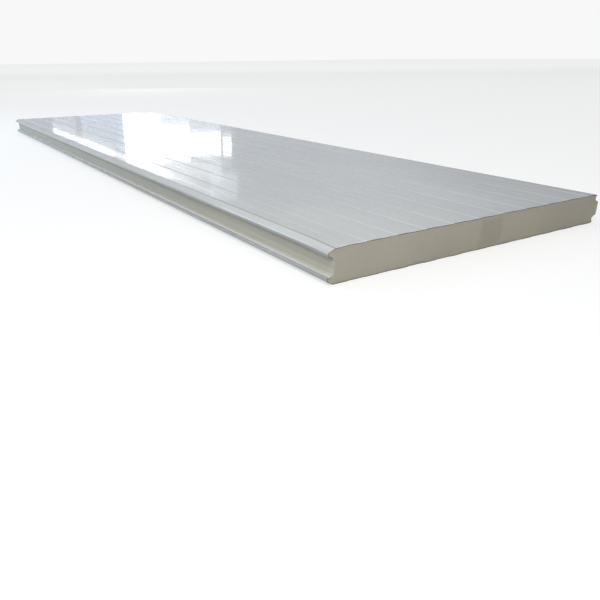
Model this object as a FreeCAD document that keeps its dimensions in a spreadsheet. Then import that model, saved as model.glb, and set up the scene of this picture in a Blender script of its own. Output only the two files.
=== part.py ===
import FreeCAD, Part
import math
import os
import Sketcher

# Insulated sandwich panel: two roll-formed steel facings bonded to a rigid foam core.
# X runs across the panel (groove edge at -X, tongue edge at +X), Y along it, Z up.
# The origin is at the middle of the underside of the overall box.

SIZES = [
    # alias, value in mm (degrees for angles, a count for rib_count), what it is
    ("panel_length", 4000, "cut length"),
    ("panel_thickness", 100, "face to face"),
    ("cover_width", 1150, "pitch at which joined panels repeat"),
    ("facing_gauge", 0.6, "thickness of the steel sheet"),
    ("joint_gap", 27, "from crease to crease across a closed joint"),
    ("flank_angle", 24, "fall of the V-joint's flanks, in degrees"),
    ("bead_reach", 21, "how far the bead's nose stands out from its crease"),
    ("bead_depth", 20, "from the face to the underside of the bead"),
    ("bead_nose_radius", 8, "inner radius of the bead's nose"),
    ("bend_radius", 1.5, "inner radius of the tight bends"),
    ("hook_start", 12.6, "from the crease to the bend of the bead's hook"),
    ("hook_run", 4.5, "inward run of the hook"),
    ("hook_drop", 4.5, "fall of the hook"),
    ("hem_reach", 10.5, "how far the tongue side's flank stands out"),
    ("hem_opening", 1, "foam held in the mouth of the hem"),
    ("joint_clearance", 1.2, "air round a bead in the neighbour's socket"),
    ("tongue_clearance", 1.5, "air between tongue and groove"),
    ("tongue_chamfer", 4, "lead-in at the tip of the tongue"),
    ("foam_shoulder", 3.5, "slope of foam below the hook"),
    ("rib_count", 10, "shallow grooves rolled in each facing"),
    ("rib_margin", 75.5, "from a crease to the middle of the nearest groove"),
    ("rib_width", 54, "flat bottom of a groove"),
    ("rib_slope", 4, "width of a groove's sloping side"),
    ("rib_depth", 1, "depth of a groove"),
]

doc = FreeCAD.newDocument("SandwichPanel")
sheet = doc.addObject("Spreadsheet::Sheet", "Sizes")
for row, (alias, number, meaning) in enumerate(SIZES, start=1):
    sheet.set(f"A{row}", meaning)
    sheet.set(f"B{row}", str(number))
    sheet.setAlias(f"B{row}", alias)
doc.recompute()


def bound(text):
    """The text of an expression, with each size's alias pointing at the sheet."""
    for alias in sorted((size[0] for size in SIZES), key=len, reverse=True):
        text = text.replace(alias, f"Sizes.{alias}")
    return text


def number(text):
    """What such an expression comes to now."""
    return float(sheet.evalExpression(bound(text)))


# ---- the section, along the line where foam meets steel --------------------------------
# A corner is (x, depth below the face, bend radius), each an expression; a radius of
# None is a sharp corner. The foam lies on the same side of the whole line.

FLUSH = "facing_gauge"
OVERALL = "(bead_reach + cover_width - tongue_clearance)"
LEFT_CREASE = f"(bead_reach - {OVERALL} / 2)"
RIGHT_CREASE = f"({LEFT_CREASE} + cover_width - joint_gap)"
RIB_PITCH = "((cover_width - joint_gap - 2 * rib_margin) / (rib_count - 1))"
OUTER_BEND = "bend_radius + facing_gauge"


def flank_depth(reach):
    """Depth of a flank's foam side at this distance from its crease."""
    return f"(facing_gauge + ({reach}) * tan(flank_angle))"


def socket_corners():
    """Hem and socket on the tongue side, from the socket's floor up to the crease."""
    hem = "hem_reach - facing_gauge"
    roof = f"({flank_depth(hem)} + hem_opening)"
    wall = "joint_gap - bead_reach - joint_clearance - facing_gauge"
    floor = "(bead_depth + joint_clearance + facing_gauge)"
    floor_end = "joint_gap - hook_start - 2 * joint_clearance"
    return [
        (f"{RIGHT_CREASE} + {floor_end}", floor, None),
        (f"{RIGHT_CREASE} + {wall}", floor, OUTER_BEND),
        (f"{RIGHT_CREASE} + {wall}", roof, OUTER_BEND),
        (f"{RIGHT_CREASE} + {hem}", roof, None),
        (f"{RIGHT_CREASE} + {hem}", flank_depth(hem), None),
        (RIGHT_CREASE, FLUSH, None),
    ]


def rib(middle):
    """The four corners of one shallow groove, from its +X side to its -X side."""
    return [
        (f"{middle} + (rib_width / 2 + rib_slope)", FLUSH, None),
        (f"{middle} + rib_width / 2", f"{FLUSH} + rib_depth", None),
        (f"{middle} - rib_width / 2", f"{FLUSH} + rib_depth", None),
        (f"{middle} - (rib_width / 2 + rib_slope)", FLUSH, None),
    ]


def first_rib():
    """The groove nearest the groove edge."""
    return rib(f"({LEFT_CREASE} + rib_margin)")


def rib_corners():
    """Every groove across the face, from the tongue side to the groove side."""
    corners = []
    for place in reversed(range(int(number("rib_count")))):
        corners += rib(f"({LEFT_CREASE} + rib_margin + {place} * {RIB_PITCH})")
    return corners


def bead_corners():
    """Flank, nose and hook of the bead on the groove side, from the crease down."""
    nose = "bead_reach - facing_gauge"
    lip = "bead_depth - facing_gauge"
    return [
        (LEFT_CREASE, FLUSH, None),
        (f"{LEFT_CREASE} - ({nose})", flank_depth(nose), "bead_nose_radius"),
        (f"{LEFT_CREASE} - ({nose})", lip, "bend_radius"),
        (f"{LEFT_CREASE} - hook_start", lip, OUTER_BEND),
        (f"{LEFT_CREASE} - hook_start + hook_run", f"{lip} + hook_drop", None),
    ]


def tongue_corners():
    """Foam tongue above the panel's mid-plane, from the socket's floor to the tip."""
    floor_end = "joint_gap - hook_start - 2 * joint_clearance"
    top = "(bead_depth + hook_drop + joint_clearance)"
    drop = f"({top} - bead_depth - joint_clearance - facing_gauge)"
    tip = "joint_gap - tongue_clearance"
    return [
        (f"{RIGHT_CREASE} + {floor_end} + {drop}", top, None),
        (f"{RIGHT_CREASE} + {tip} - tongue_chamfer", top, None),
        (f"{RIGHT_CREASE} + {tip}", f"{top} + tongue_chamfer", None),
    ]


def groove_corner():
    """Where the foam's upright side begins, below the bead."""
    return [(LEFT_CREASE, "bead_depth + hook_drop + foam_shoulder", None)]


def placed(corners, upper):
    """The corners with heights in place of depths."""
    if upper:
        return [(x, f"panel_thickness - ({depth})", bend) for x, depth, bend in corners]
    return corners


# ---- sketches --------------------------------------------------------------------------

def arc_ends(sketch, arc, start):
    """Which ends of an arc lie at this start point and opposite it."""
    return (1, 2) if (sketch.getPoint(arc, 1) - start).Length < 1e-6 else (2, 1)


def draw(sketch, corners, closed):
    """Draws lines through the corners, with tangent arcs at the bends, all tied to the sheet."""
    points = [FreeCAD.Vector(number(x), number(z), 0) for x, z, bend in corners]
    count = len(points)
    arrive, leave, arcs = list(points), list(points), {}
    for at, (x, z, bend) in enumerate(corners):
        if bend is None:
            continue
        back = (points[at - 1] - points[at]).normalize()
        ahead = (points[(at + 1) % count] - points[at]).normalize()
        radius = number(bend)
        half = back.getAngle(ahead) / 2
        arrive[at] = points[at] + back * (radius / math.tan(half))
        leave[at] = points[at] + ahead * (radius / math.tan(half))
        centre = points[at] + (back + ahead).normalize() * (radius / math.sin(half))
        middle = centre + (points[at] - centre).normalize() * radius
        arc = Part.Arc(arrive[at], middle, leave[at])
        arcs[at] = sketch.addGeometry(arc)
    lines = []
    for at in range(count if closed else count - 1):
        lines.append(sketch.addGeometry(Part.LineSegment(leave[at], arrive[(at + 1) % count])))

    rules, bindings = [], {}

    def tie(text, kind, *where):
        bindings[len(rules)] = text
        rules.append(Sketcher.Constraint(kind, *where, number(text)))

    for at, (x, z, bend) in enumerate(corners):
        before = lines[at - 1] if closed or at > 0 else None
        after = lines[at] if closed or at < count - 1 else None
        if bend is None:
            corner, end = (before, 2) if after is None else (after, 1)
            if before is not None and after is not None:
                rules.append(Sketcher.Constraint("Coincident", before, 2, after, 1))
        else:
            corner, end = sketch.addGeometry(Part.Point(points[at]), True), 1
            first, last = arc_ends(sketch, arcs[at], arrive[at])
            rules += [
                Sketcher.Constraint("Tangent", before, 2, arcs[at], first),
                Sketcher.Constraint("Tangent", arcs[at], last, after, 1),
                Sketcher.Constraint("PointOnObject", corner, 1, before),
                Sketcher.Constraint("PointOnObject", corner, 1, after),
            ]
            tie(bend, "Radius", arcs[at])
        tie(x, "DistanceX", -1, 1, corner, end)
        tie(z, "DistanceY", -1, 1, corner, end)
    sketch.addConstraint(rules)
    for place, text in bindings.items():
        sketch.setExpression(f"Constraints[{place}]", bound(text))


def upright_sketch(name):
    """A sketch in the XZ plane: its x is X and its y is Z."""
    sketch = doc.addObject("Sketcher::SketchObject", name)
    sketch.Placement = FreeCAD.Placement(
        FreeCAD.Vector(0, 0, 0), FreeCAD.Rotation(FreeCAD.Vector(1, 0, 0), 90))
    return sketch


# ---- pieces ----------------------------------------------------------------------------

def make_facing(label, upper):
    """A facing: the bond line thickened outwards by the sheet's gauge and drawn out in Y."""
    line = upright_sketch(f"{label}_line")
    draw(line, placed(socket_corners() + rib_corners() + bead_corners(), upper), closed=False)
    doc.recompute()
    section = doc.addObject("Part::Offset2D", f"{label}_section")
    section.Source = line
    section.Join = "Intersection"
    section.Mode = "Skin"
    section.Fill = True
    outwards = "-1" if upper else "1"
    section.setExpression("Value", bound(f"{outwards} * facing_gauge"))
    facing = doc.addObject("Part::Extrusion", label)
    facing.Label = label
    facing.Base = section
    facing.DirMode = "Custom"
    facing.Dir = FreeCAD.Vector(0, 1, 0)
    facing.Solid = True
    facing.Symmetric = True
    facing.setExpression("LengthFwd", bound("panel_length"))
    return facing


def origin_plane(body, role):
    return next(item for item in body.Origin.OriginFeatures if item.Role == role)


def body_sketch(body, name, corners):
    """A closed outline in the body's own XZ plane."""
    sketch = body.newObject("Sketcher::SketchObject", name)
    sketch.AttachmentSupport = (origin_plane(body, "XZ_Plane"), [""])
    sketch.MapMode = "FlatFace"
    doc.recompute()
    draw(sketch, corners, closed=True)
    doc.recompute()
    return sketch


def make_core(label):
    """The foam core: everything between the two bond lines, with the tongue and the groove."""
    body = doc.addObject("PartDesign::Body", label)
    body.Label = label
    side = tongue_corners()[::-1] + socket_corners() + bead_corners() + groove_corner()
    outline = placed(side, True) + placed(side, False)[::-1]
    pad = body.newObject("PartDesign::Pad", f"{label}_pad")
    pad.Profile = body_sketch(body, f"{label}_outline", outline)
    pad.SideType = "Symmetric"
    pad.setExpression("Length", bound("panel_length"))
    body.Tip = pad
    doc.recompute()
    for face, upper in (("upper", True), ("lower", False)):
        before = body.Shape.Volume
        groove = body.newObject("PartDesign::Pocket", f"{face}_groove")
        groove.Profile = body_sketch(body, f"{face}_groove_section", placed(first_rib(), upper))
        groove.SideType = "Symmetric"
        groove.setExpression("Length", bound("panel_length"))
        row = body.newObject("PartDesign::LinearPattern", f"{face}_grooves")
        row.Originals = [groove]
        row.Direction = (groove.Profile[0], ["H_Axis"])
        row.Mode = "Spacing"
        row.setExpression("Offset", bound(RIB_PITCH))
        row.setExpression("Occurrences", bound("rib_count"))
        body.Tip = row
        doc.recompute()
        cut = before - body.Shape.Volume
        expected = number("rib_count * rib_depth * (rib_width + rib_slope) * panel_length")
        if abs(cut - expected) > expected / 1000:
            raise RuntimeError(f"the {face} grooves cut {cut:.0f} mm3 instead of {expected:.0f}")
    return body


pieces = [
    make_facing("upper_facing", upper=True),
    make_facing("lower_facing", upper=False),
    make_core("foam_core"),
]
doc.recompute()

failed = [item.Name for item in doc.Objects if {"Invalid", "Error"} & set(item.State)]
if failed:
    raise RuntimeError(f"features that failed: {failed}")
for piece in pieces:
    if piece.Shape.isNull() or not piece.Shape.isValid() or len(piece.Shape.Solids) != 1:
        raise RuntimeError(f"{piece.Label} is not one valid solid")

os.makedirs("parts", exist_ok=True)
for piece in pieces:
    box = piece.Shape.BoundBox
    print(f"{piece.Label}: volume {piece.Shape.Volume:.0f}, "
          f"x {box.XMin:.2f}..{box.XMax:.2f}, y {box.YMin:.2f}..{box.YMax:.2f}, "
          f"z {box.ZMin:.2f}..{box.ZMax:.2f}")
    piece.Shape.exportStep(f"parts/{piece.Label}.step")
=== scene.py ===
"""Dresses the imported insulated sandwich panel: painted steel facings, sawn foam, studio.

X runs across the panel, Y along it and Z up, in metres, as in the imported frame. The beads
are on the -X edge, the tongue is on the +X edge, and the near sawn end is the one at -Y.
"""
import math

import bpy
import numpy as np
from bpy.props import FloatProperty, FloatVectorProperty, IntProperty, PointerProperty
from mathutils import Euler, Matrix, Vector
from mathutils.geometry import delaunay_2d_cdt


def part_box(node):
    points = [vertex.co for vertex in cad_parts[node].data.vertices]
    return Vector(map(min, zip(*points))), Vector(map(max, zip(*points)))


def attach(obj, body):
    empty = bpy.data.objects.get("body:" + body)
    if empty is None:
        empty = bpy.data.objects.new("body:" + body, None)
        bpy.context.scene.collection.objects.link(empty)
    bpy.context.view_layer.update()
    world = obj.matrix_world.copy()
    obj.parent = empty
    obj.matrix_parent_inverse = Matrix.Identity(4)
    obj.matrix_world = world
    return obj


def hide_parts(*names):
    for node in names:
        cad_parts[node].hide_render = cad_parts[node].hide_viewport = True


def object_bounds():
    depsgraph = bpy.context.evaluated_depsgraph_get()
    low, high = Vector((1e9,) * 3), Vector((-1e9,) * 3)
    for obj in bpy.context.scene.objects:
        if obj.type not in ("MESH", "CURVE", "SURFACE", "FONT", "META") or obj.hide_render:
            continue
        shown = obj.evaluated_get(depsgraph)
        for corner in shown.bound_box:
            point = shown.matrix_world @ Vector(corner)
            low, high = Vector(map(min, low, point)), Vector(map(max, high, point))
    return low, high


bl_info = {
    "name": "Insulated Sandwich Panel",
    "version": (1, 0, 0),
    "blender": (4, 5, 0),
    "location": "View3D > Sidebar > Panel",
    "description": "Builds the dressed facings, foam core and studio of one wall panel",
    "category": "Object",
}

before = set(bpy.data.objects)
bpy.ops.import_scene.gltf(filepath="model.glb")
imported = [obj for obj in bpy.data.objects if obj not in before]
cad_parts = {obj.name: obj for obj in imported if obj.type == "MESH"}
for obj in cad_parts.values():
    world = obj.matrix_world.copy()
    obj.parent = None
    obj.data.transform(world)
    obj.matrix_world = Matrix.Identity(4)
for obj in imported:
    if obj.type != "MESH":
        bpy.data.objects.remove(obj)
CAD_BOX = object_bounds()
UPPER, LOWER, CORE = "upper_facing", "lower_facing", "foam_core"
HALF_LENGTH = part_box(CORE)[1][1]
THICKNESS = CAD_BOX[1][2] - CAD_BOX[0][2]


# ---- settings --------------------------------------------------------------------------

def length(name, default, description):
    """A length in metres."""
    return FloatProperty(name=name, default=default, description=description,
                         min=0.0, unit="LENGTH", precision=5)


def colour(name, default, description):
    """A colour, as the light's own share and not as a screen's number."""
    return FloatVectorProperty(name=name, default=default, description=description,
                               size=3, min=0.0, max=1.0, subtype="COLOR")


def factor(name, default, description):
    """A share from 0 to 1."""
    return FloatProperty(name=name, default=default, description=description,
                         min=0.0, max=1.0, subtype="FACTOR")


def power(name, default, description):
    """A lamp's watts, or a radiance."""
    return FloatProperty(name=name, default=default, description=description, min=0.0)


class PanelSection(bpy.types.PropertyGroup):
    """Sizes of the section, the same on both faces."""
    gauge: length("Gauge", 0.0006, "Thickness of the steel sheet")
    cover_width: length("Cover width", 1.150, "Pitch at which joined panels repeat")
    joint_gap: length("Joint gap", 0.027, "Crease to crease across a closed joint")
    flank_angle: FloatProperty(name="Flank angle", default=math.radians(24), subtype="ANGLE",
                               description="Fall of the flanks beside the creases")
    bead_reach: length("Bead reach", 0.021, "How far the bead's nose stands out")
    bead_depth: length("Bead depth", 0.020, "From the face to the underside of the bead")
    nose_radius: length("Nose radius", 0.008, "Inner radius of the bead's nose")
    bend_radius: length("Bend radius", 0.0015, "Inner radius of the tight bends")
    hook_start: length("Hook start", 0.0126, "From the crease to the hook's bend")
    hook_run: length("Hook run", 0.0045, "Inward run of the hook")
    hook_drop: length("Hook drop", 0.0045, "Fall of the hook")
    hem_reach: length("Hem reach", 0.0105, "How far the hemmed flank stands out")
    hem_opening: length("Hem opening", 0.001, "Foam held in the mouth of the hem")
    clearance: length("Joint clearance", 0.0012, "Air round a bead in its socket")
    tongue_clearance: length("Tongue clearance", 0.0015, "Air between tongue and groove")
    tongue_chamfer: length("Tongue chamfer", 0.004, "Lead-in at the tongue's tip")
    foam_shoulder: length("Foam shoulder", 0.0035, "Slope of foam below the hook")
    rib_count: IntProperty(name="Grooves", default=10, min=2, description="Grooves in a face")
    rib_margin: length("Groove margin", 0.0755, "Crease to middle of the nearest groove")
    rib_width: length("Groove width", 0.054, "Flat bottom of a groove")
    rib_slope: length("Groove slope", 0.004, "Width of a groove's sloping side")
    rib_depth: length("Groove depth", 0.001, "Depth of a groove")
    rib_radius: length("Groove bends", 0.009, "Rolled radius at a groove's corners")
    crease_radius: length("Crease radius", 0.0004, "Inner radius of the creases")
    valley_depth: length("Valley depth", 0.0004, "Rolled line beside the bead's crease")
    hem_radius: length("Hem radius", 0.00035, "Inner radius at the hem's fold")
    waviness: length("Waviness", 0.00012, "Slow unevenness of the bonded sheet")
    corner_sag: length("Corner sag", 0.003, "How far the sawn corner hangs down")
    saw_rag: length("Saw rag", 0.0009, "Raggedness of the sawn edge of the sheet")
    burr: length("Burr", 0.0012, "How far the sawn sheet's burr turns in over the foam")
    foam_wear: length("Foam wear", 0.0008, "Unevenness of the sawn foam")


class PanelFinish(bpy.types.PropertyGroup):
    """Colours and gloss of the paint, the steel's edge and the foam."""
    paint: colour("Paint", (0.588, 0.607, 0.603), "Grey-white topcoat")
    primer: colour("Backing coat", (0.40, 0.41, 0.40), "Coat on the foam side of the sheet")
    zinc: colour("Cut edge", (0.21, 0.205, 0.19), "Bare edge of the galvanised sheet")
    foam: colour("Foam", (0.60, 0.575, 0.49), "Foam skin along the long edges")
    sawn: colour("Sawn foam", (0.70, 0.66, 0.55), "Freshly sawn foam")
    drag: colour("Drag marks", (0.50, 0.51, 0.51), "Marks drawn along the paint")
    scuff: colour("Scuffs", (0.68, 0.69, 0.69), "Paint scuffed pale")
    # painted highlight: a pale colour for the glint of the sheet's bent edge by the saw cut
    edge_glint: colour("Rubbed paint", (0.86, 0.86, 0.84), "Bright spots beside the saw cut")
    rust: colour("Rust", (0.20, 0.13, 0.08), "Rust on the cut edge")
    # painted shade: a dark colour for the shade in the creases and under the bead's nose
    painted_shade: colour("Grime", (0.24, 0.24, 0.225), "Dirt beside the creases and under the nose")
    smear: colour("Smear", (0.42, 0.33, 0.27), "Brown smear on the near sawn end")
    # dark dirt, and also a painted shadow: the dark band under the sheets on the sawn ends of the
    # foam
    soot_and_shadow: colour("Saw dirt", (0.10, 0.095, 0.08), "Dirt that the blade leaves by the steel")
    paint_roughness: factor("Paint roughness", 0.26, "Roughness of the pigment coat")
    gloss_roughness: factor("Gloss roughness", 0.06, "Roughness of the clear surface")


class PanelStudio(bpy.types.PropertyGroup):
    """The plain studio."""
    floor: factor("Floor", 0.42, "How much of the light the pale floor gives back")
    floor_glow: factor("Floor glow", 0.62, "White that the floor shows besides")
    key_power: power("Key light", 42.0, "Soft lamp over the near left corner")
    fill_power: power("Fill light", 54.0, "Cool lamp beside the far end")
    window_glow: power("Window glow", 2.4, "Radiance of the mirrored window")
    lens: FloatProperty(name="Lens", default=35.4, min=1.0, description="Focal length in mm")


# ---- surfaces --------------------------------------------------------------------------

ARC_STEPS = 5                       # spans in each rolled bend
COLLAR = 0.0004                     # from a bend to the first point on the flat beside it
SECTION_STEP = 0.02                 # widest span along a section
TOUCHING = 1e-7                     # points nearer than this are one
VALLEY = 0.0045, 0.003, 0.0015      # rim, floor and rim of the rolled line, from the crease
SAWN_STATIONS = 0, 0.0007, 0.0016, 0.003, 0.006, 0.012, 0.022, 0.036, 0.055, 0.08
EVEN_STATIONS = 0.1                 # from a sawn end to the first of the even stations
UPPER_STEP, LOWER_STEP, FOAM_STEP = 0.05, 0.09, 0.07    # even stations along Y
RAG_ZONE, BURR_ZONE = 0.003, 0.0015     # how far in from the saw cut each one reaches
UPPER_SAW, LOWER_SAW = 9, 31        # seeds of the sheets' ragged edges
SAG_LENGTH = 0.07                   # the sag has fallen to about a third this far along
SAG_LEVELS = 0.55, 0.8              # shares of the thickness: no sag up to one, full above
SKIN_SINK, SKIN_BLEND = 0.0004, 0.006   # hollows in the foam's open sides, fade by the steel
FOAM_BEHIND = 0.0006                # the foam's rim lies this far behind the sheet's edge
FOAM_GRID = 0.005                   # between the points inside a sawn face of the foam
SHARP_ANGLE = math.radians(38)      # faces that meet at more than this show an edge
PAINTED, BACKING, CUT = range(3)    # the sheet's finishes, in the order of its slots
SKIN, SAWN = range(2)               # the foam's


def rolled_line(corners):
    """A line through corners (x, z, radius), rounded by tangent arcs.

    At a corner with inner angle 2h the arc starts and ends r / tan(h) from it and its
    heading turns evenly. Returns x, z and the heading's angle at each point.
    """
    points, radii = np.array([c[:2] for c in corners]), np.array([c[2] for c in corners[1:-1]])
    spans = np.diff(points, axis=0)
    heading = np.unwrap(np.arctan2(spans[:, 1], spans[:, 0]))
    turn = np.diff(heading)
    along = np.stack([np.cos(heading), np.sin(heading)], -1)
    trim = radii * np.abs(np.tan(turn / 2))
    start = points[1:-1] - along[:-1] * trim[:, None]
    angle = heading[:-1, None] + turn[:, None] * np.linspace(0, 1, ARC_STEPS + 1)
    side = np.sign(turn) * radii
    arc_x = start[:, :1] + side[:, None] * (np.sin(angle) - np.sin(heading[:-1, None]))
    arc_z = start[:, 1:] - side[:, None] * (np.cos(angle) - np.cos(heading[:-1, None]))
    x = np.concatenate([points[:1, 0], arc_x.ravel(), points[-1:, 0]])
    z = np.concatenate([points[:1, 1], arc_z.ravel(), points[-1:, 1]])
    return filled(x, z, np.concatenate([heading[:1], angle.ravel(), heading[-1:]]))


def filled(x, z, angle):
    """The same line with points added in its long spans.

    No span is longer than SECTION_STEP, and a point COLLAR from each bend keeps the flat
    beside it flat in the shading. New points lie straight between the old ones.
    """
    run = np.concatenate([[0], np.cumsum(np.hypot(np.diff(x), np.diff(z)))])
    apart = np.concatenate([[True], np.diff(run) > TOUCHING])
    x, z, angle, run = x[apart], z[apart], angle[apart], run[apart]
    gaps = np.diff(run)
    extra = np.ceil(gaps / SECTION_STEP).astype(int) - 1
    owner = np.repeat(np.arange(len(gaps)), extra)
    rank = np.arange(len(owner)) - np.repeat(np.cumsum(extra) - extra, extra) + 1
    even = run[owner] + gaps[owner] * rank / (extra[owner] + 1)
    flat = gaps > 4 * COLLAR
    spots = np.sort(np.concatenate([run, even, run[:-1][flat] + COLLAR, run[1:][flat] - COLLAR]))
    return np.interp(spots, run, x), np.interp(spots, run, z), np.interp(spots, run, angle)


def bond_corners(size):
    """Corners (x, z, radius) of the line where foam meets the upper facing, z = 0 at the face.

    From the floor of the tongue side's socket, over the grooves, to the tip of the
    bead's hook. Also returns the x of the left and right crease.
    """
    tan = math.tan(size.flank_angle)
    left = size.bead_reach - (size.bead_reach + size.cover_width - size.tongue_clearance) / 2
    right = left + size.cover_width - size.joint_gap
    hem = size.hem_reach - size.gauge
    mouth = size.gauge + hem * tan
    wall = right + size.joint_gap - size.bead_reach - size.clearance - size.gauge
    floor = size.bead_depth + size.clearance + size.gauge
    outer = size.bend_radius + size.gauge
    floor_end = right + size.joint_gap - size.hook_start - 2 * size.clearance
    socket = [(floor_end, -floor, 0), (wall, -floor, outer),
              (wall, -mouth - size.hem_opening, outer),
              (right + hem, -mouth - size.hem_opening, size.hem_radius),
              (right + hem, -mouth, size.hem_radius), (right, -size.gauge, size.crease_radius)]
    pitch = (right - left - 2 * size.rib_margin) / (size.rib_count - 1)
    middles = left + size.rib_margin + pitch * np.arange(size.rib_count)[::-1]
    half = size.rib_width / 2
    across = np.array([half + size.rib_slope, half, -half, -half - size.rib_slope])
    down = -size.gauge - np.array([0, 1, 1, 0]) * size.rib_depth
    ribs = np.stack(np.broadcast_arrays(middles[:, None] + across, down, size.rib_radius), -1)
    valley = [(left + off, -size.gauge - depth, size.valley_depth)
              for off, depth in zip(VALLEY, (0, size.valley_depth, 0))]
    nose = size.bead_reach - size.gauge
    lip = size.bead_depth - size.gauge
    bead = [(left, -size.gauge, size.crease_radius),
            (left - nose, -size.gauge - nose * tan, size.nose_radius),
            (left - nose, -lip, size.bend_radius), (left - size.hook_start, -lip, outer),
            (left - size.hook_start + size.hook_run, -lip - size.hook_drop, 0)]
    corners = socket + [tuple(corner) for corner in ribs.reshape(-1, 3)] + valley + bead
    return corners, left, right


def stations(step):
    """Places along Y: close together at both sawn ends, then no further apart than step."""
    near = np.array(SAWN_STATIONS)
    run = HALF_LENGTH - EVEN_STATIONS
    middle = np.linspace(-run, run, math.ceil(2 * run / step) + 1)
    return np.concatenate([near - HALF_LENGTH, middle, (HALF_LENGTH - near)[::-1]])


def waves(x, y, seed, shortest, longest, count=14):
    """A smooth random field in -1..1: a sum of sines of random heading and length."""
    random = np.random.default_rng(seed)
    size = np.exp(random.uniform(np.log(shortest), np.log(longest), count))
    angle, phase = random.uniform(0, 2 * math.pi, (2, count))
    total = np.zeros(np.broadcast_shapes(np.shape(x), np.shape(y)))
    for scale, turn, start in zip(2 * math.pi / size, angle, phase):
        total += np.sin(scale * (x * math.cos(turn) + y * math.sin(turn)) + start)
    return np.tanh(total / math.sqrt(count))


def smooth(low, high, value):
    """0 below low, 1 above high, and a smooth step between."""
    t = np.clip((value - low) / (high - low), 0, 1)
    return t * t * (3 - 2 * t)


def near_cut(y, reach):
    """1 at both sawn ends, falling evenly to 0 at reach from them."""
    return np.clip(1 - (HALF_LENGTH - np.abs(y)) / reach, 0, 1)


def sag(size, x, y, z):
    """How far a point hangs down at the sawn corner of the upper bead.

    Full at the near end beyond the crease; it dies out over the flat land inside the
    crease, along the panel as a bell curve, and with depth below the bead.
    """
    left = bond_corners(size)[1]
    inward = 1 - smooth(left - 0.004, left + size.rib_margin - size.rib_width / 2, x)
    back = np.exp(-((y + HALF_LENGTH) / SAG_LENGTH) ** 2)
    height = smooth(*SAG_LEVELS, z / THICKNESS)
    return size.corner_sag * inward * back * height


def ragged(size, x, y, seed):
    """How far the sawn edge of a sheet lies inside the full length, at x on the end by y.

    From 0 to size.saw_rag, by waves 4 to 90 mm long.
    """
    return size.saw_rag * (0.5 + 0.5 * waves(x, np.sign(y), seed, 0.004, 0.09, 24))


def tube_walls(index):
    """Quads round and along a closed loop that is carried along Y, facing outwards.

    Corner (i, j) joins to its neighbours (i + 1, j) along and (i, j + 1) round the loop.
    """
    here, after = index[:-1], index[1:]
    return np.stack([here, after, np.roll(after, -1, 1), np.roll(here, -1, 1)], -1)


def facing_surface(size, step, seed):
    """The rolled sheet: the bond line and its offset by the gauge, carried along Y.

    Point (i, j) is line_j + gauge * normal_j at station y_i. The line runs towards -X
    over the face, so its right-hand normal points out. At both sawn ends the edge is
    ragged, and a burr of 0.3 to 1 times size.burr turns in over the foam.
    Returns vertices (station, loop, 3), the painted side first in the loop, and how many
    points that side has.
    """
    x, z, angle = rolled_line(bond_corners(size)[0])
    normal = np.stack([np.sin(angle), -np.cos(angle)], -1)
    line = np.stack([x, z], -1)
    y = stations(step)[:, None]
    grid = np.empty((len(y), 2 * len(x), 3))
    grid[..., 1] = y
    grid[:, :len(x), ::2] = line + size.gauge * normal
    turned = 0.65 + 0.35 * waves(x, z * 3 + np.sign(y), seed + 1, 0.006, 0.08, 20)
    turned = turned * size.burr * near_cut(y, BURR_ZONE)
    grid[:, len(x):, ::2] = (line - turned[..., None] * normal)[:, ::-1]
    grid[..., 1] -= (np.sign(y) * ragged(size, grid[..., 0], grid[..., 1], seed)
                     * near_cut(y, RAG_ZONE))
    return grid, len(x)


def sheet_faces(rows, loop, half):
    """Quads round and along a carried loop, and the ladders that close its two ends."""
    index = np.arange(rows * loop).reshape(rows, loop)
    out, back = np.arange(half), 2 * half - 1 - np.arange(half)
    near, far = index[0], index[-1]
    ends = [np.stack([near[out[:-1]], near[out[1:]], near[back[1:]], near[back[:-1]]], -1),
            np.stack([far[out[:-1]], far[back[:-1]], far[back[1:]], far[out[1:]]], -1)]
    kinds = np.full((rows - 1, loop), PAINTED)
    kinds[:, half:] = BACKING
    kinds[:, [half - 1, loop - 1]] = CUT
    return (np.concatenate([tube_walls(index).reshape(-1, 4), *ends]),
            np.concatenate([kinds.ravel(), np.full(2 * (half - 1), CUT)]))


def upright(x, start, end, count):
    """Evenly spaced points (x, z) from start to end."""
    return np.stack([np.full(count, x), np.linspace(start, end, count)], -1)


def mirrored(points):
    """Points (x, z) on the other side of the panel's middle plane."""
    return points * (1, -1) + (0, THICKNESS)


def foam_outline(size):
    """The foam's section as points (x, z), once round.

    The tongue's upper half, the upper bond line, the upright side between the beads, the
    lower bond line, the tongue's lower half and its upright tip.
    """
    corners, left, right = bond_corners(size)
    line_x, line_z, _ = rolled_line(corners)
    upper = np.stack([line_x, THICKNESS + line_z], -1)
    top = size.bead_depth + size.hook_drop + size.clearance
    tip = right + size.joint_gap - size.tongue_clearance
    tongue = np.array([(corners[0][0] + size.hook_drop - size.gauge, top),
                       (tip - size.tongue_chamfer, top), (tip, top + size.tongue_chamfer)])
    shoulder = size.bead_depth + size.hook_drop + size.foam_shoulder
    side = upright(left, THICKNESS - shoulder, shoulder, 9)
    end = upright(tip, tongue[-1, 1], THICKNESS - tongue[-1, 1], 7)[1:-1]
    return np.concatenate([mirrored(tongue)[::-1], upper, side, mirrored(upper)[::-1],
                           tongue, end])


def sawn_face(outline, inside):
    """Triangles over a closed outline and the points inside it, by Delaunay's rule."""
    flat = np.concatenate([outline, inside])
    spots, _, triangles, *_ = delaunay_2d_cdt(
        [Vector(point) for point in flat.tolist()], [], [list(range(len(outline)))], 1, TOUCHING)
    if len(spots) != len(flat):
        raise RuntimeError("the sawn end's outline does not close")
    return np.array(triangles)


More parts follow.
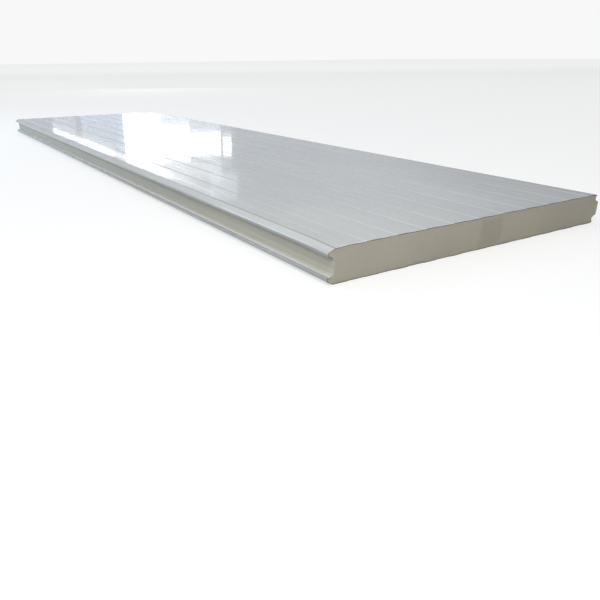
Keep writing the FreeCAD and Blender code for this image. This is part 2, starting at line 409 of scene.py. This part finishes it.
def foam_surface(size):
    """The foam: its outline carried along Y, and a sawn face at each end.

    Point (i, j) is outline_j at station y_i; the open sides sink in by up to SKIN_SINK.
    A sawn face shares the outline's points and has an even grid of points inside. Its
    rim follows the ragged sheets and its inside is worn by the blade.
    Returns the vertices, the walls' faces and those of the two sawn ends.
    """
    outline = foam_outline(size)
    left, right = bond_corners(size)[1:]
    x, z = outline.T
    y = stations(FOAM_STEP)[:, None]
    shoulder = size.bead_depth + size.hook_drop + size.foam_shoulder
    exposed = smooth(shoulder, shoulder + SKIN_BLEND, np.minimum(z, THICKNESS - z))
    uneven = 0.5 + 0.5 * waves(z * 14, y, 17, 0.12, 0.9)
    grid = np.empty((len(y), len(outline), 3))
    grid[..., 0] = x - np.sign(x) * SKIN_SINK * uneven * exposed
    grid[..., 1] = y
    grid[..., 2] = z

    index = np.arange(len(y) * len(outline)).reshape(len(y), len(outline))
    across = np.arange(left + 0.004, right - 0.002, FOAM_GRID)
    up = np.arange(0.006, THICKNESS - 0.005, FOAM_GRID)
    inside = np.stack(np.meshgrid(across, up), -1).reshape(-1, 2)
    triangles = sawn_face(outline, inside)
    vertices, ends = [grid.reshape(-1, 3)], []
    for end, row in enumerate((0, -1)):
        vertices.append(np.insert(inside, 1, y[row, 0], axis=1))
        own = index.size + end * len(inside) + np.arange(len(inside))
        faces = np.concatenate([index[row], own])[triangles]
        ends.append(faces[:, ::-1] if end else faces)

    vertices = np.concatenate(vertices)
    x, y, z = vertices.T.copy()
    rim = slice(index.size)
    wear = size.foam_wear * (0.5 + 0.5 * waves(x, z * 0.3 + np.sign(y), 21, 0.02, 0.3, 20))
    wear[rim] = FOAM_BEHIND + np.where(z > THICKNESS / 2, ragged(size, x, y, UPPER_SAW),
                                       ragged(size, x, y, LOWER_SAW))[rim]
    vertices[:, 1] -= np.sign(y) * wear * near_cut(y, RAG_ZONE)
    vertices[:, 2] -= sag(size, x, y, z)
    return vertices, tube_walls(index).reshape(-1, 4), ends


def build(name, vertices, faces, finishes, kinds):
    """A smooth-shaded mesh object from arrays of corners, faces and finish numbers."""
    mesh = bpy.data.meshes.new(name)
    sizes = np.concatenate([np.full(len(block), block.shape[1]) for block in faces])
    loops = np.concatenate([block.ravel() for block in faces]).astype(np.int32)
    mesh.vertices.add(len(vertices))
    mesh.vertices.foreach_set("co", np.ascontiguousarray(vertices, np.float32).ravel())
    mesh.loops.add(len(loops))
    mesh.loops.foreach_set("vertex_index", loops)
    mesh.polygons.add(len(sizes))
    mesh.polygons.foreach_set("loop_start", np.concatenate([[0], np.cumsum(sizes)[:-1]]))
    mesh.polygons.foreach_set("material_index", kinds.astype(np.int32))
    mesh.update(calc_edges=True)
    if mesh.validate():
        raise RuntimeError(f"{name} has faces that are not sound")
    mesh.shade_smooth()
    mesh.set_sharp_from_angle(angle=SHARP_ANGLE)
    for finish in finishes:
        mesh.materials.append(finish)
    piece = bpy.data.objects.new(name, mesh)
    bpy.context.scene.collection.objects.link(piece)
    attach(piece, "root")
    return piece


# ---- finishes --------------------------------------------------------------------------

class Signal:
    """A socket that takes part in sums: each operator adds a Math node."""

    def __init__(self, finish, socket):
        self.finish, self.socket = finish, socket

    def maths(self, operation, *values):
        """A Math node on this socket and other values or signals."""
        return self.finish.maths(operation, self, *values)

    def __add__(self, other):
        return self.maths("ADD", other)

    def __sub__(self, other):
        return self.maths("SUBTRACT", other)

    def __mul__(self, other):
        return self.maths("MULTIPLY", other)

    def __truediv__(self, other):
        return self.maths("DIVIDE", other)

    def __pow__(self, other):
        return self.maths("POWER", other)

    def __rsub__(self, other):
        return self.finish.maths("SUBTRACT", other, self)

    def __abs__(self):
        return self.maths("ABSOLUTE")

    __radd__, __rmul__ = __add__, __mul__

    def larger(self, other):
        """The larger of this and another."""
        return self.maths("MAXIMUM", other)

    def smooth(self, low, high):
        """0 up to low and 1 from high on, smooth between; either may be the larger."""
        return Signal(self.finish, self.finish.node(
            "ShaderNodeMapRange", {"interpolation_type": "SMOOTHSTEP"},
            {"Value": self, "From Min": low, "From Max": high}).outputs["Result"])


class Finish:
    """A node tree under construction."""

    def __init__(self, owner):
        owner.use_nodes = True
        self.tree = owner.node_tree
        self.tree.nodes.clear()

    def node(self, kind, settings=None, sockets=None):
        """A node of this type, its settings first, then values or links for its sockets."""
        made = self.tree.nodes.new(kind)
        for name, value in (settings or {}).items():
            if name == "stops":
                ramp = made.color_ramp
                while len(ramp.elements) < len(value):
                    ramp.elements.new(0.5)
                for element, (place, shade) in zip(ramp.elements, value):
                    element.position, element.color = place, (*shade, 1.0)
            else:
                setattr(made, name, value)
        for name, value in (sockets or {}).items():
            socket = made.inputs[name]
            if isinstance(value, Signal):
                value = value.socket
            if isinstance(value, bpy.types.NodeSocket):
                self.tree.links.new(value, socket)
            elif socket.type == "RGBA" and len(value) == 3:
                socket.default_value = (*value, 1.0)
            else:
                socket.default_value = value
        return made

    def maths(self, operation, *values):
        """A Math node on these values or signals."""
        made = self.node("ShaderNodeMath", {"operation": operation}, dict(enumerate(values)))
        return Signal(self, made.outputs[0])

    def axes(self, vector):
        """A vector's three parts as signals."""
        split = self.node("ShaderNodeSeparateXYZ", sockets={"Vector": vector})
        return [Signal(self, split.outputs[axis]) for axis in "XYZ"]

    def place(self):
        """Object coordinates, in metres."""
        return self.node("ShaderNodeTexCoord").outputs["Object"]

    def cloud(self, spot, per_metre, detail, seed):
        """Noise with so many features a metre along X, Y and Z; its mean is 0.5."""
        stretch = self.node("ShaderNodeMapping", sockets={
            "Vector": spot, "Scale": per_metre, "Location": (seed, seed * 0.7, -seed)})
        noise = self.node("ShaderNodeTexNoise", {"noise_dimensions": "3D"}, {
            "Vector": stretch.outputs[0], "Scale": 1.0, "Detail": detail})
        return Signal(self, noise.outputs[0])

    def cells(self, spot, per_metre):
        """Distance to the nearest of so many scattered points a metre: foam cells."""
        return Signal(self, self.node("ShaderNodeTexVoronoi", sockets={
            "Vector": spot, "Scale": per_metre}).outputs["Distance"])

    def mix(self, amount, first, second):
        """A colour amount of the way from first to second, by the node's colour sockets."""
        return self.node("ShaderNodeMix", {"data_type": "RGBA"},
                         {0: amount, 6: first, 7: second}).outputs[2]

    def bump(self, height, distance):
        """The normal of a surface raised by height times distance."""
        return self.node("ShaderNodeBump", sockets={
            "Distance": distance, "Height": height}).outputs[0]

    def blend(self, amount, first, second):
        """A shader amount of the way from first to second."""
        return self.node("ShaderNodeMixShader", sockets={
            0: amount, 1: first.outputs[0], 2: second.outputs[0]})

    def end(self, shader, kind="ShaderNodeOutputMaterial"):
        """Wires a shader to the tree's output."""
        self.node(kind, sockets={"Surface": shader.outputs[0]})

    def surface(self, **sockets):
        """The Principled shader, its constants and links, wired to the output."""
        self.end(self.node("ShaderNodeBsdfPrincipled", sockets={
            name.replace("_", " "): value for name, value in sockets.items()}))


def material(name):
    """A new material and the tree to build it in."""
    made = bpy.data.materials.new(name)
    return made, Finish(made)


def toned(base, share):
    """A colour made darker or lighter by a share."""
    return [part * share for part in base]


def below_face(z):
    """Distance in from the nearer of the panel's two faces."""
    return THICKNESS / 2 - abs(z - THICKNESS / 2)


def painted_steel(look, creases):
    """Grey-white gloss topcoat over galvanised sheet.

    Dust in clouds, drag marks along the panel, scuffs, painted shade beside both creases
    and under the bead's nose, painted highlights at the sawn ends, and orange peel.
    """
    made, f = material("painted_steel")
    spot = f.place()
    x, y, z = f.axes(spot)
    dust = f.cloud(spot, (2.8, 1.5, 2.8), detail=4.0, seed=3.1)
    drag = f.cloud(spot, (90.0, 0.7, 30.0), detail=3.0, seed=7.7)
    scuff = f.cloud(spot, (38.0, 5.0, 20.0), detail=4.0, seed=1.3).smooth(0.62, 0.72)

    # painted shade in a band 4 to 10 mm wide just inside each crease, and round under the nose
    shade_patches = f.cloud(spot, (40.0, 3.0, 40.0), detail=3.0, seed=2.9)
    left, right = creases
    beside = (abs(x - (left + 0.003)).smooth(0.005, 0.002)
              + abs(x - (right - 0.003)).smooth(0.005, 0.002))
    depth = below_face(z)
    on_face = depth.smooth(0.006, 0.0045)
    under_nose = x.smooth(left - 0.010, left - 0.016) * depth.smooth(0.006, 0.016)
    painted_shade = (beside * on_face * (shade_patches * 0.8 + 0.2)).larger(under_nose * (shade_patches * 0.4 + 0.4))

    # painted highlights, in spots on the last 1 to 3 mm before the saw cut, most of them by the
    # near bead
    edge_glint = f.cloud(spot, (26.0, 60.0, 26.0), detail=3.0, seed=6.4)
    by_bead = abs(x - (left + 0.07)).smooth(0.06, 0.045) * y.smooth(0.0, -1.0)
    painted_glint = ((HALF_LENGTH - abs(y) - by_bead * 0.004).smooth(0.0028, 0.0012)
            * (edge_glint + by_bead * 0.12).smooth(0.52, 0.6))

    shade = f.mix(dust.smooth(0.32, 0.68), toned(look.paint, 0.915), toned(look.paint, 1.06))
    shade = f.mix((drag - 0.5) * 0.3 + 0.1, shade, look.drag)
    shade = f.mix(scuff * 0.18, shade, look.scuff)
    # painted shade: the paint is darkened beside the creases and under the nose
    shade = f.mix(painted_shade, shade, look.painted_shade)
    # painted highlight at the sawn ends
    shade = f.mix(painted_glint * 0.8, shade, look.edge_glint)
    peel = f.cloud(spot, (330.0, 330.0, 330.0), detail=2.0, seed=5.0)
    swell = f.cloud(spot, (9.0, 4.0, 9.0), detail=2.0, seed=2.0)
    f.surface(Base_Color=shade,
              Roughness=look.paint_roughness + (dust - 0.5) * 0.12 + scuff * 0.1,
              IOR=1.5, Coat_Weight=1.0 - (scuff * 0.25).larger(painted_shade * 0.7),
              Coat_Roughness=look.gloss_roughness, Coat_IOR=1.5,
              Normal=f.bump(peel * 0.007 + swell, 0.0004))
    return made


def backing_coat(look):
    """Thin dull primer on the foam side of the sheet."""
    made, f = material("backing_coat")
    mottle = f.cloud(f.place(), (60.0, 25.0, 60.0), detail=4.0, seed=8.0)
    f.surface(Base_Color=f.mix(mottle, toned(look.primer, 0.9), toned(look.primer, 1.1)),
              Roughness=0.45 + mottle * 0.2, Normal=f.bump(mottle, 0.0002))
    return made


def cut_steel(look):
    """Sawn edge of the sheet: dull zinc and steel, scored across and burred."""
    made, f = material("cut_steel")
    spot = f.place()
    score = f.cloud(spot, (900.0, 400.0, 900.0), detail=3.0, seed=4.0)
    rust = f.cloud(spot, (70.0, 70.0, 70.0), detail=4.0, seed=9.0).smooth(0.55, 0.7)
    shade = f.mix(score, toned(look.zinc, 0.6), look.zinc)
    f.surface(Base_Color=f.mix(rust * 0.4, shade, look.rust), Metallic=0.35 - rust * 0.3,
              Roughness=0.5 + score * 0.3, Normal=f.bump(score, 0.0002))
    return made


def foam_skin(look):
    """Cream foam skin along the long edges: drawn-out streaks, pores and dirt specks."""
    made, f = material("foam_skin")
    spot = f.place()
    streak = f.cloud(spot, (60.0, 0.8, 95.0), detail=4.0, seed=2.2)
    tone = f.cloud(spot, (4.0, 1.6, 4.0), detail=3.0, seed=6.0)
    pores = f.cells(spot, 420.0)
    speck = f.cloud(spot, (55.0, 55.0, 55.0), detail=2.0, seed=15.0).smooth(0.735, 0.76)
    shade = f.mix(streak.smooth(0.3, 0.7), toned(look.foam, 0.90), toned(look.foam, 1.06))
    shade = f.mix(tone.smooth(0.35, 0.7) * 0.35, shade, toned(look.foam, 0.93))
    shade = f.mix(speck * 0.7, shade, look.soot_and_shadow)
    f.surface(Base_Color=shade, Roughness=0.42 + tone * 0.2, IOR=1.5,
              Normal=f.bump(streak + pores * 0.25, 0.0004))
    return made


def sawn_foam(look):
    """Sawn end of the foam: blade marks, open cells, one brown smear, dirt and painted shadow by
    both sheets.
    """
    made, f = material("sawn_foam")
    spot = f.place()
    x, y, z = f.axes(spot)
    tone = f.cloud(spot, (3.0, 3.0, 6.0), detail=4.0, seed=11.0)
    marks = f.cloud(spot, (75.0, 1.0, 9.0), detail=4.0, seed=5.5)
    grain = f.cloud(spot, (500.0, 500.0, 500.0), detail=3.0, seed=8.8)
    cells = f.cells(spot, 650.0)

    # the smear is about 100 mm wide and 80 mm high, with a wandering edge, on one end only
    wander = f.cloud(spot, (60.0, 1.0, 60.0), detail=4.0, seed=1.7)
    smear = ((abs(x - 0.036) + (wander - 0.5) * 0.03).smooth(0.058, 0.040)
             * (abs(z - 0.052) + (wander - 0.5) * 0.02).smooth(0.046, 0.034)
             * (tone * 0.6 + 0.5) * y.smooth(0.0, -1.0))
    depth = below_face(z)
    # saw dirt and a painted shadow: a dark band of wandering width under each sheet
    dirt_and_shadow = (depth - wander * 0.004).smooth(0.0022, 0.0002)
    haze = (depth - wander * 0.01).smooth(0.014, 0.002)

    shade = f.mix(tone.smooth(0.3, 0.7), toned(look.sawn, 0.95), toned(look.sawn, 1.04))
    shade = f.mix((marks - 0.5) * 0.22 + 0.1, shade, toned(look.sawn, 0.7))
    shade = f.mix(grain.smooth(0.4, 0.75) * 0.22, shade, toned(look.sawn, 0.6))
    shade = f.mix(smear * 0.30, shade, look.smear)
    shade = f.mix(haze * 0.07, shade, look.primer)
    # saw dirt and painted shadow under both sheets
    shade = f.mix(dirt_and_shadow * 0.3, shade, look.soot_and_shadow)
    f.surface(Base_Color=shade, Roughness=0.85 + tone * 0.1, IOR=1.4,
              Normal=f.bump(marks * 0.4 + cells * 0.5 + grain * 0.3, 0.0007))
    return made


# ---- pieces ----------------------------------------------------------------------------

def panel_settings(context):
    """The scene's settings: section, finish and studio."""
    scene = context.scene
    return scene.panel_section, scene.panel_finish, scene.panel_studio


def steel_finishes(size, look):
    """The sheets' three finishes in the order of PAINTED, BACKING, CUT, shared by both."""
    makers = {"painted_steel": lambda: painted_steel(look, bond_corners(size)[1:]),
              "backing_coat": lambda: backing_coat(look), "cut_steel": lambda: cut_steel(look)}
    return [bpy.data.materials.get(name) or make() for name, make in makers.items()]


class PANEL_OT_upper_facing(bpy.types.Operator):
    """Build the upper facing, uneven as a bonded sheet is and ragged where it is sawn"""
    bl_idname = "panel.upper_facing"
    bl_label = "Upper facing"
    bl_options = {"REGISTER", "UNDO"}

    def execute(self, context):
        size, look, _ = panel_settings(context)
        grid, half = facing_surface(size, UPPER_STEP, UPPER_SAW)
        x, y, z = np.moveaxis(grid, -1, 0)
        z += THICKNESS
        # the sheet sinks by up to twice the waviness, and never stands proud of its size
        z -= size.waviness * (1 + waves(x, y, 5, 0.22, 0.9))
        z -= sag(size, x, y, z)
        faces, kinds = sheet_faces(*grid.shape[:2], half)
        piece = build("upper_sheet", grid.reshape(-1, 3), [faces],
                      steel_finishes(size, look), kinds)
        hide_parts(UPPER)
        return {"FINISHED"}


class PANEL_OT_lower_facing(bpy.types.Operator):
    """Build the lower facing, the upper one's mirror image lying on the floor"""
    bl_idname = "panel.lower_facing"
    bl_label = "Lower facing"
    bl_options = {"REGISTER", "UNDO"}

    def execute(self, context):
        size, look, _ = panel_settings(context)
        grid, half = facing_surface(size, LOWER_STEP, LOWER_SAW)
        grid[..., 2] *= -1
        faces, kinds = sheet_faces(*grid.shape[:2], half)
        piece = build("lower_sheet", grid.reshape(-1, 3), [faces[:, ::-1]],
                      steel_finishes(size, look), kinds)
        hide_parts(LOWER)
        return {"FINISHED"}


class PANEL_OT_foam_core(bpy.types.Operator):
    """Build the foam core: the outline between the bond lines, carried along Y, with sawn ends"""
    bl_idname = "panel.foam_core"
    bl_label = "Foam core"
    bl_options = {"REGISTER", "UNDO"}

    def execute(self, context):
        size, look, _ = panel_settings(context)
        vertices, walls, ends = foam_surface(size)
        kinds = np.repeat([SKIN, SAWN], [len(walls), sum(map(len, ends))])
        piece = build("foam", vertices, [walls, *ends], [foam_skin(look), sawn_foam(look)],
                      kinds)
        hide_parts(CORE)
        return {"FINISHED"}


# ---- studio ----------------------------------------------------------------------------

CAMERA_SPOT = Vector((-1.468, -3.112, 0.546))
CAMERA_TURN = math.radians(30.7)            # from the +Y direction towards +X
CAMERA_FALL = math.radians(22.47)
CAMERA_ROLL = math.radians(-0.52)
CAMERA_SHIFT = 0.0802                       # sideways, as a share of the sensor
SENSOR_WIDTH = 36.0                         # mm
FAR_CLIP = 200.0
FLOOR_REACH = 60.0
CARD_DISTANCE, CARD_RISE = 22.0, math.radians(4.3)
CARD_FADE = math.radians(44.5), math.radians(32.0)      # clear and full, beside its middle
WHITE = (1.0, 1.0, 1.0)
BACKGROUND = (0.94, 0.94, 0.94)
NEAR_SIDE = (0.08, 0.08, 0.08)
BRIGHT_TURN = 0.1                           # the room is brightest this way, and dims
DIM_TURNS, DIMMEST = (0.55, 1.3), 0.85      # by this share between these turns beside it
# the room's grey by the sine of the angle above the level
ROOM = ((0.085, (0.53, 0.56, 0.605)), (0.30, (0.53, 0.545, 0.56)),
        (0.65, (0.79, 0.81, 0.83)), (1.0, (0.99, 1.0, 1.0)))
WINDOW_DISTANCE = 12.0
# the mirrored window, its pale foot and the faint veils round it: name, turn and rise in
# degrees, share of the glow, tint
WINDOWS = (
    ("window_left", (19.0, 20.4), (4.75, 9.1), 1.0, WHITE),
    ("window", (20.4, 22.4), (5.3, 9.2), 1.0, WHITE),
    ("window_step", (22.4, 25.0), (6.0, 8.9), 1.0, WHITE),
    ("window_side", (25.0, 27.9), (6.65, 8.6), 0.95, (0.98, 0.99, 1.0)),
    ("window_edge", (28.1, 28.9), (7.0, 8.7), 0.75, (0.95, 0.98, 1.0)),
    ("window_foot", (19.4, 27.9), (9.2, 10.9), 0.19, (0.92, 0.96, 1.0)),
    ("window_low", (26.8, 29.4), (10.4, 12.6), 0.16, (0.80, 0.88, 1.0)),
    ("veil_far", (12.9, 14.8), (4.8, 6.4), 0.07, (0.80, 0.90, 1.0)),
    ("veil_left", (15.3, 19.0), (4.4, 8.4), 0.11, (0.60, 0.79, 1.0)),
    ("veil_head", (19.0, 22.4), (4.2, 4.75), 0.14, (0.78, 0.90, 1.0)),
    ("veil_step", (20.4, 22.4), (4.75, 5.3), 0.16, (0.82, 0.92, 1.0)),
    ("veil_over", (22.4, 25.0), (4.2, 6.0), 0.13, (0.78, 0.90, 1.0)),
    ("veil_right", (25.0, 27.9), (4.4, 6.65), 0.09, (0.70, 0.84, 1.0)),
)
TUBE_REACH = 4.0
# the tube lights: turn in degrees of the near and far end, width, share of the glow
TUBES = ((18.0, 12.8, 0.085, 1.0), (23.2, 18.0, 0.050, 0.9), (27.0, 23.2, 0.030, 0.5))


def mirror_eye():
    """The camera's mirror image below the panel's upper face."""
    return Vector((*CAMERA_SPOT.xy, 2 * THICKNESS - CAMERA_SPOT.z))


def ahead(turn):
    """The level direction at this turn."""
    return Vector((math.sin(turn), math.cos(turn), 0))


def turn_towards(x, y):
    """The turn from +Y to the direction (x, y), as a signal."""
    return x.maths("ARCTAN2", y)


def seen(f):
    """1 for what the camera sees, also mirrored or through glass; 0 for light that spreads."""
    rays = f.node("ShaderNodeLightPath").outputs
    camera, glossy, through = (Signal(f, rays[f"Is {kind} Ray"])
                               for kind in ("Camera", "Glossy", "Transmission"))
    return camera + glossy + through


def surroundings(f, x, y, z):
    """Grey of the room towards (x, y, z): brightest overhead, dim at the near side."""
    rise = z / ((x * x + y * y + z * z) ** 0.5)
    ramp = f.node("ShaderNodeValToRGB", {"stops": ROOM}, {"Fac": rise})
    beside = abs(turn_towards(x, y) - BRIGHT_TURN).smooth(*DIM_TURNS)
    dim = beside * DIMMEST * (1.0 - rise.smooth(0.6, 1.0))
    return f.mix(dim, ramp.outputs[0], NEAR_SIDE)


def studio_sky():
    """The room's soft light; the camera sees plain white, also mirrored."""
    world = bpy.data.worlds.new("studio")
    f = Finish(world)
    towards = f.node("ShaderNodeTexCoord").outputs["Generated"]
    room = f.node("ShaderNodeBackground", sockets={"Color": surroundings(f, *f.axes(towards))})
    white = f.node("ShaderNodeBackground", sockets={"Color": BACKGROUND})
    f.end(f.blend(seen(f), room, white), "ShaderNodeOutputWorld")
    return world


def studio_floor(studio):
    """Pale floor: it keeps shadows, looks white, and sends little light up at the panel."""
    made, f = material("studio_floor")
    grain = f.cloud(f.place(), (1.5, 1.5, 1.5), detail=2.0, seed=0.0)
    pale = [studio.floor] * 3
    matt = {"Base Color": f.mix(grain, toned(pale, 0.99), pale), "Roughness": 0.9,
            "Specular IOR Level": 0.0}
    dull = f.node("ShaderNodeBsdfPrincipled", sockets=matt)
    white = f.node("ShaderNodeBsdfPrincipled", sockets={
        **matt, "Emission Color": WHITE, "Emission Strength": studio.floor_glow})
    f.end(f.blend(seen(f), dull, white))
    return made


def screen(name, corners, finish):
    """A flat piece of the stage with these four corners."""
    mesh = bpy.data.meshes.new(name)
    mesh.from_pydata(corners, [], [(0, 1, 2, 3)])
    mesh.materials.append(finish)
    made = bpy.data.objects.new(name, mesh)
    bpy.context.scene.collection.objects.link(made)
    return made


def lay_floor(studio):
    """The floor, far larger than what is seen of it."""
    corners = [(side * FLOOR_REACH, end * FLOOR_REACH, 0)
               for side, end in ((-1, -1), (1, -1), (1, 1), (-1, 1))]
    screen("floor", corners, studio_floor(studio))


def grey_card():
    """A tall grey card far behind the panel, which the glossy face mirrors.

    It starts CARD_RISE above the level of the camera's mirror image, shows the room's
    grey and fades out at both sides; the camera itself doesn't see it.
    """
    eye = mirror_eye()
    out = ahead(CAMERA_TURN)
    side = Vector((out.y, -out.x, 0)) * CARD_DISTANCE
    foot = eye + out * CARD_DISTANCE
    foot.z += CARD_DISTANCE * math.tan(CARD_RISE)
    top = foot + Vector((0, 0, CARD_DISTANCE))

    made, f = material("grey_card")
    x, y, z = (part - own for part, own in zip(f.axes(f.place()), eye))
    glow = f.node("ShaderNodeEmission", sockets={"Color": surroundings(f, x, y, z)})
    clear = f.node("ShaderNodeBsdfTransparent")
    within = abs(turn_towards(x, y) - CAMERA_TURN).smooth(*CARD_FADE)
    f.end(f.blend(within, clear, glow))
    card = screen("grey_card", [foot - side, foot + side, top + side, top - side], made)
    card.visible_camera = False


def lamp(name, spot, target, width, height, watts, tint):
    """A soft rectangular lamp, level and aimed at a target; the camera doesn't see it."""
    light = bpy.data.lights.new(name, "AREA")
    light.shape = "RECTANGLE"
    light.size, light.size_y = width, height
    light.energy, light.color = watts, tint
    made = bpy.data.objects.new(name, light)
    bpy.context.scene.collection.objects.link(made)
    look = (Vector(target) - Vector(spot)).to_track_quat("-Z", "Y")
    made.matrix_world = Matrix.LocRotScale(Vector(spot), look, None)
    made.visible_camera = False


def window_lamp(name, turn, rise, glow, tint):
    """An upright lamp seen mirrored in the panel's face between these angles.

    turn and rise are (from, to) in degrees, seen from the camera's mirror image below
    the face. A radiance of 1 from a flat lamp of area A takes pi * A watts.
    """
    first, last = map(math.radians, turn)
    eye = mirror_eye()
    out = ahead((first + last) / 2)
    bottom, top = (eye.z + WINDOW_DISTANCE * math.tan(math.radians(angle)) for angle in rise)
    width, height = 2 * WINDOW_DISTANCE * math.tan((last - first) / 2), top - bottom
    spot = eye + out * WINDOW_DISTANCE
    spot.z = (bottom + top) / 2
    lamp(name, spot, spot - out, width, height, glow * math.pi * width * height, tint)


def tube_lamp(size, near_turn, far_turn, width, glow):
    """A long thin lamp beside the far end, level and parallel to the panel.

    The face mirrors it for the camera along the groove nearest the left crease: mirror
    eye, groove and lamp lie in one plane, the lamp TUBE_REACH times further off.
    """
    groove = bond_corners(size)[1] + size.rib_margin - size.rib_width / 2 - size.rib_slope
    eye = mirror_eye()
    side = TUBE_REACH * (groove - eye.x)
    near, far = (eye.y + side / math.tan(math.radians(turn)) for turn in (near_turn, far_turn))
    spot = Vector((eye.x + side, (near + far) / 2, eye.z + TUBE_REACH * (THICKNESS - eye.z)))
    lamp("tube", spot, (groove, spot.y, THICKNESS), far - near, width,
         glow * math.pi * (far - near) * width, WHITE)


def set_camera(studio):
    """The camera: level at first, turned, tipped down and rolled about its own axis."""
    lens = bpy.data.cameras.new("camera")
    lens.lens, lens.sensor_width, lens.clip_end = studio.lens, SENSOR_WIDTH, FAR_CLIP
    lens.shift_x = CAMERA_SHIFT
    made = bpy.data.objects.new("camera", lens)
    bpy.context.scene.collection.objects.link(made)
    turn = Euler((math.pi / 2 - CAMERA_FALL, 0.0, -CAMERA_TURN)).to_matrix()
    roll = Matrix.Rotation(CAMERA_ROLL, 3, "Z")
    made.matrix_world = Matrix.LocRotScale(CAMERA_SPOT, (turn @ roll).to_quaternion(), None)
    return made


class PANEL_OT_stage(bpy.types.Operator):
    """Set the plain pale floor, the soft light and the camera"""
    bl_idname = "panel.stage"
    bl_label = "Studio"
    bl_options = {"REGISTER", "UNDO"}

    def execute(self, context):
        size, _, studio = panel_settings(context)
        scene = context.scene
        lay_floor(studio)
        scene.world = studio_sky()
        grey_card()
        lamp("key", spot=(-1.95, -3.1, 2.0), target=(-0.3, -1.2, 0.0), width=1.8, height=1.8,
             watts=studio.key_power, tint=(1.0, 0.985, 0.95))
        lamp("fill", spot=(-3.2, 2.2, 1.7), target=(-0.4, 1.2, 0.0), width=2.4, height=1.6,
             watts=studio.fill_power, tint=(0.58, 0.79, 1.0))
        for name, turn, rise, share, tint in WINDOWS:
            window_lamp(name, turn, rise, share * studio.window_glow, tint)
        for near, far, width, share in TUBES:
            tube_lamp(size, near, far, width, share * studio.window_glow)
        scene.camera = set_camera(studio)
        scene.view_settings.view_transform = "Standard"
        return {"FINISHED"}


# ---- add-on ----------------------------------------------------------------------------

STEPS = (PANEL_OT_upper_facing, PANEL_OT_lower_facing, PANEL_OT_foam_core, PANEL_OT_stage)
GROUPS = {"panel_section": PanelSection, "panel_finish": PanelFinish,
          "panel_studio": PanelStudio}


class PANEL_PT_sidebar(bpy.types.Panel):
    """The panel's pieces in the 3D view's sidebar"""
    bl_idname = "PANEL_PT_sidebar"
    bl_label = "Sandwich panel"
    bl_space_type = "VIEW_3D"
    bl_region_type = "UI"
    bl_category = "Panel"

    def draw(self, context):
        for step in STEPS:
            self.layout.operator(step.bl_idname)
        for name, group in GROUPS.items():
            box = self.layout.box()
            for field in group.__annotations__:
                box.prop(getattr(context.scene, name), field)


CLASSES = (*GROUPS.values(), *STEPS, PANEL_PT_sidebar)


def register():
    """Register the classes and hang the settings on the scene."""
    for item in CLASSES:
        bpy.utils.register_class(item)
    for name, group in GROUPS.items():
        setattr(bpy.types.Scene, name, PointerProperty(type=group))


def unregister():
    """Take off what register put on, in the opposite order."""
    for name in GROUPS:
        delattr(bpy.types.Scene, name)
    for item in reversed(CLASSES):
        bpy.utils.unregister_class(item)


def main():
    """Run every step in order."""
    register()
    for step in STEPS:
        group, name = step.bl_idname.split(".")
        getattr(getattr(bpy.ops, group), name)()


if __name__ == "__main__":
    main()
